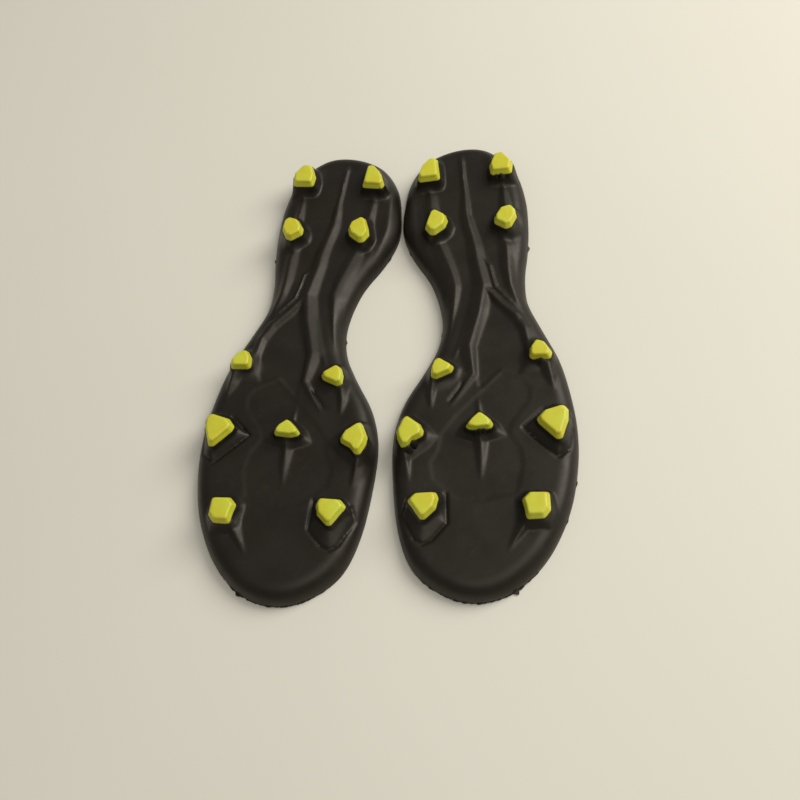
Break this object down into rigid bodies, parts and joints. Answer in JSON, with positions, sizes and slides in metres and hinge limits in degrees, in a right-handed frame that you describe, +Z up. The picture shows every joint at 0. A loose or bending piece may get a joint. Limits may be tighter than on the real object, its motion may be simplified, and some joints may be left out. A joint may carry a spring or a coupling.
{
  "type": "cleat outsole pair",
  "caption": "Left and right moulded cleat outsoles, studs up: crowned black plates with ribs, flexing forefoot and separate yellow stud tips.",
  "frame": {"origin": "middle of the pair on the surface that the rims stand on", "axes": "+Z up through the studs, +Y towards the heels, +X towards the right foot's sole"},
  "size_m": [0.1954, 0.2782, 0.02],
  "materials": {
    "black_tpu": "satin moulded polyurethane, fine texture, light scuffs",
    "lime_tpu": "satin lime yellow polyurethane, slightly translucent"
  },
  "bodies": {
    "left_rear": {"left_rear_plate": "black_tpu", "left_flex_band": "black_tpu", "left_heel_rear_lateral_tip": "lime_tpu", "left_heel_rear_medial_tip": "lime_tpu", "left_heel_front_lateral_tip": "lime_tpu", "left_heel_front_medial_tip": "lime_tpu", "left_waist_lateral_tip": "lime_tpu", "left_waist_medial_tip": "lime_tpu", "left_ball_lateral_tip": "lime_tpu", "left_ball_centre_tip": "lime_tpu", "left_ball_medial_tip": "lime_tpu"},
    "left_front": {"left_front_plate": "black_tpu", "left_front_lateral_tip": "lime_tpu", "left_front_medial_tip": "lime_tpu"},
    "right_rear": {"right_rear_plate": "black_tpu", "right_flex_band": "black_tpu", "right_heel_rear_lateral_tip": "lime_tpu", "right_heel_rear_medial_tip": "lime_tpu", "right_heel_front_lateral_tip": "lime_tpu", "right_heel_front_medial_tip": "lime_tpu", "right_waist_lateral_tip": "lime_tpu", "right_waist_medial_tip": "lime_tpu", "right_ball_lateral_tip": "lime_tpu", "right_ball_centre_tip": "lime_tpu", "right_ball_medial_tip": "lime_tpu"},
    "right_front": {"right_front_plate": "black_tpu", "right_front_lateral_tip": "lime_tpu", "right_front_medial_tip": "lime_tpu"}
  },
  "joints": [
    {"name": "left_flex", "type": "hinge", "parent": "left_rear", "child": "left_front", "pos_m": [-0.0512, -0.07711, 0.004], "axis": [0.9976, -0.0698, 0], "range_deg": [-8, 25], "stiffness_Nm_per_rad": 1, "deforming": ["left_flex_band"]},
    {"name": "right_flex", "type": "hinge", "parent": "right_rear", "child": "right_front", "pos_m": [0.0512, -0.07361, 0.004], "axis": [0.9976, 0.0698, 0], "range_deg": [-8, 25], "stiffness_Nm_per_rad": 1, "deforming": ["right_flex_band"]},
    {"name": "pair_apart", "type": "slide", "parent": "left_rear", "child": "right_rear", "axis": [1, 0, 0], "range_m": [0, 0.06]}
  ]
}
